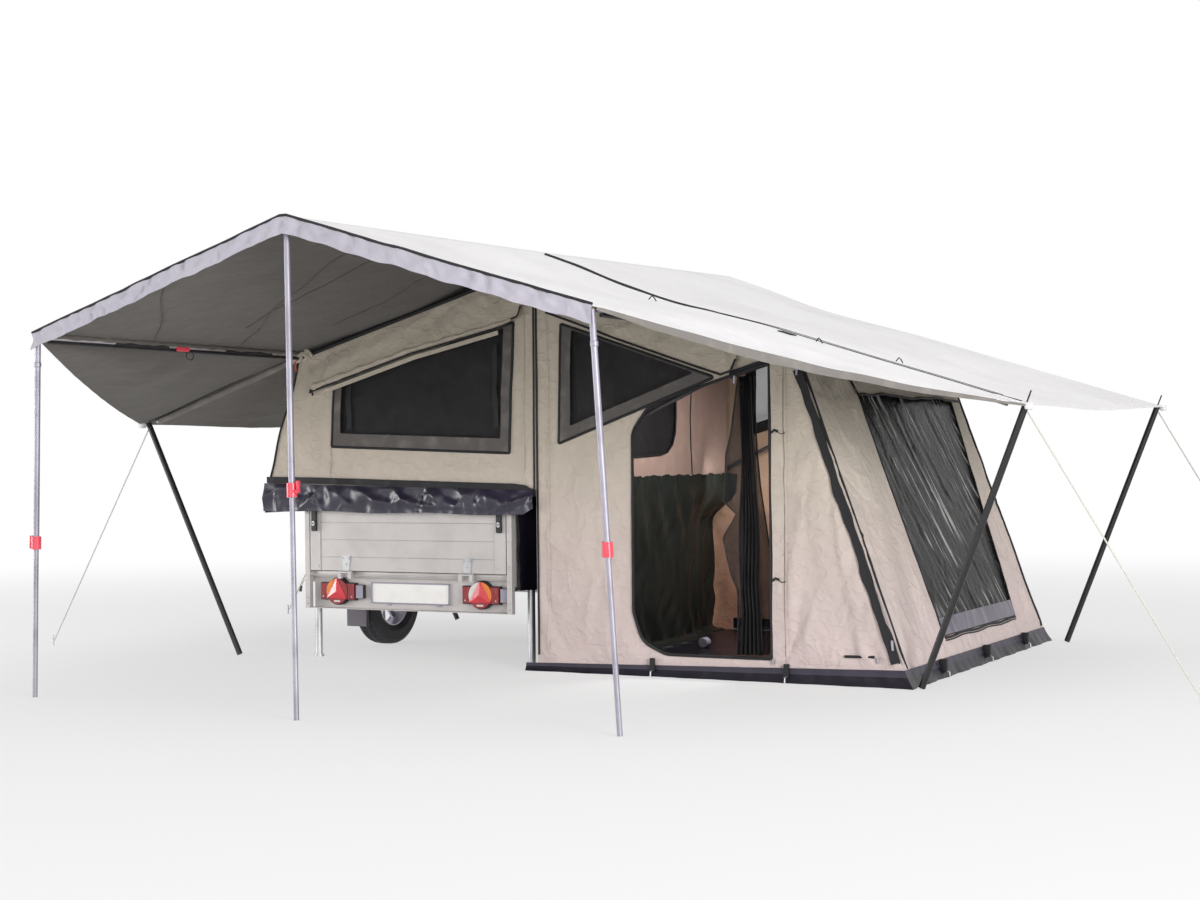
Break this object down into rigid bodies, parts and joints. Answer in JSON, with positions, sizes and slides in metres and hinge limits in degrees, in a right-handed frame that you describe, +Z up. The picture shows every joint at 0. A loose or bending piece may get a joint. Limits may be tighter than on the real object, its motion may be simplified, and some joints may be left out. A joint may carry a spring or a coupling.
{
  "type": "folding caravan",
  "caption": "Box trailer with a pitched ridge tent over its bed deck and a floor half beside it, under a fly sheet with a porch roof on poles",
  "frame": {"origin": "on the ground under the middle of the bounding box", "axes": "+X right as seen from behind, +Y forward towards the tow ball, +Z up"},
  "size_m": [7.273, 5.6062, 2.365],
  "materials": {
    "galvanised": "satin",
    "aluminium": "satin",
    "plywood": "matte",
    "tyre_rubber": "matte",
    "alloy": "satin",
    "black_plastic": "matte",
    "lamp_red": "gloss",
    "plate_white": "matte",
    "canvas": "matte",
    "pvc_charcoal": "satin",
    "mesh_black": "matte",
    "clear_pvc": "gloss",
    "fly_cloth": "matte",
    "mattress_cover": "matte",
    "pole_aluminium": "satin",
    "clamp_red": "gloss",
    "pole_black": "satin",
    "rope": "matte",
    "rubber": "matte"
  },
  "bodies": {
    "trailer": {"chassis_frame": "galvanised", "drawbar": "galvanised", "coupling_head": "galvanised", "axle_beam": "galvanised", "mudguard_left": "black_plastic", "mudguard_right": "black_plastic", "floor_panel": "plywood", "side_panel_left": "aluminium", "side_panel_right": "aluminium", "front_panel": "aluminium", "rear_frame": "aluminium", "lamp_housings": "black_plastic", "lamp_lenses": "lamp_red", "number_plate": "plate_white", "stand_clamps": "galvanised", "jockey_bracket": "galvanised", "bed_deck": "plywood", "mattress": "mattress_cover", "roof_bed": "canvas", "roof_room": "canvas", "rear_wall_bed": "canvas", "rear_wall_room": "canvas", "front_wall_bed": "canvas", "front_wall_room": "canvas", "window_meshes": "mesh_black", "end_wall_bed": "canvas", "window_clear": "clear_pvc", "end_wall_room": "canvas", "groundsheet": "pvc_charcoal", "bed_curtain": "pvc_charcoal", "skirt_rear": "pvc_charcoal", "skirt_sides": "pvc_charcoal", "tent_frame": "pole_aluminium", "fly_left": "fly_cloth", "porch_left": "fly_cloth", "fly_right": "fly_cloth", "porch_right": "fly_cloth", "porch_flaps": "fly_cloth", "porch_valance": "fly_cloth", "porch_poles": "pole_aluminium", "pole_clamps": "clamp_red", "fly_flaps": "fly_cloth", "fly_bars": "pole_aluminium", "corner_poles": "pole_black", "guy_stays": "rope", "pegs": "galvanised"},
    "wheel_left": {"tyre_left": "tyre_rubber", "rim_left": "alloy"},
    "wheel_right": {"tyre_right": "tyre_rubber", "rim_right": "alloy"},
    "tailgate": {"tailgate_panel": "aluminium", "tailgate_hinges": "galvanised", "tailgate_latches": "black_plastic"},
    "prop_stand_left": {"stand_left": "galvanised"},
    "prop_stand_right": {"stand_right": "galvanised"},
    "jockey_column": {"jockey_stem": "galvanised"},
    "jockey_swivel": {"jockey_fork": "galvanised"},
    "jockey_roller": {"jockey_wheel": "rubber"}
  },
  "joints": [
    {"name": "wheel_left_spin", "type": "hinge", "parent": "trailer", "child": "wheel_left", "pos_m": [-1.62391, 0.3231, 0.281], "axis": [1, 0, 0], "continuous": true},
    {"name": "wheel_right_spin", "type": "hinge", "parent": "trailer", "child": "wheel_right", "pos_m": [-0.06291, 0.3231, 0.281], "axis": [1, 0, 0], "continuous": true},
    {"name": "tailgate_drop", "type": "hinge", "parent": "trailer", "child": "tailgate", "pos_m": [-0.84341, -0.6524, 0.513], "axis": [1, 0, 0], "range_deg": [0, 170], "deforming": ["skirt_rear"]},
    {"name": "stand_left_slide", "type": "slide", "parent": "trailer", "child": "prop_stand_left", "axis": [0, 0, 1], "range_m": [0, 0.3]},
    {"name": "stand_right_slide", "type": "slide", "parent": "trailer", "child": "prop_stand_right", "axis": [0, 0, 1], "range_m": [0, 0.3]},
    {"name": "jockey_height", "type": "slide", "parent": "trailer", "child": "jockey_column", "axis": [0, 0, 1], "range_m": [0, 0.1]},
    {"name": "jockey_turn", "type": "hinge", "parent": "jockey_column", "child": "jockey_swivel", "pos_m": [-0.84341, 2.3081, 0.245], "axis": [0, 0, 1], "continuous": true},
    {"name": "jockey_spin", "type": "hinge", "parent": "jockey_swivel", "child": "jockey_roller", "pos_m": [-0.84341, 2.2631, 0.105], "axis": [1, 0, 0], "continuous": true}
  ]
}
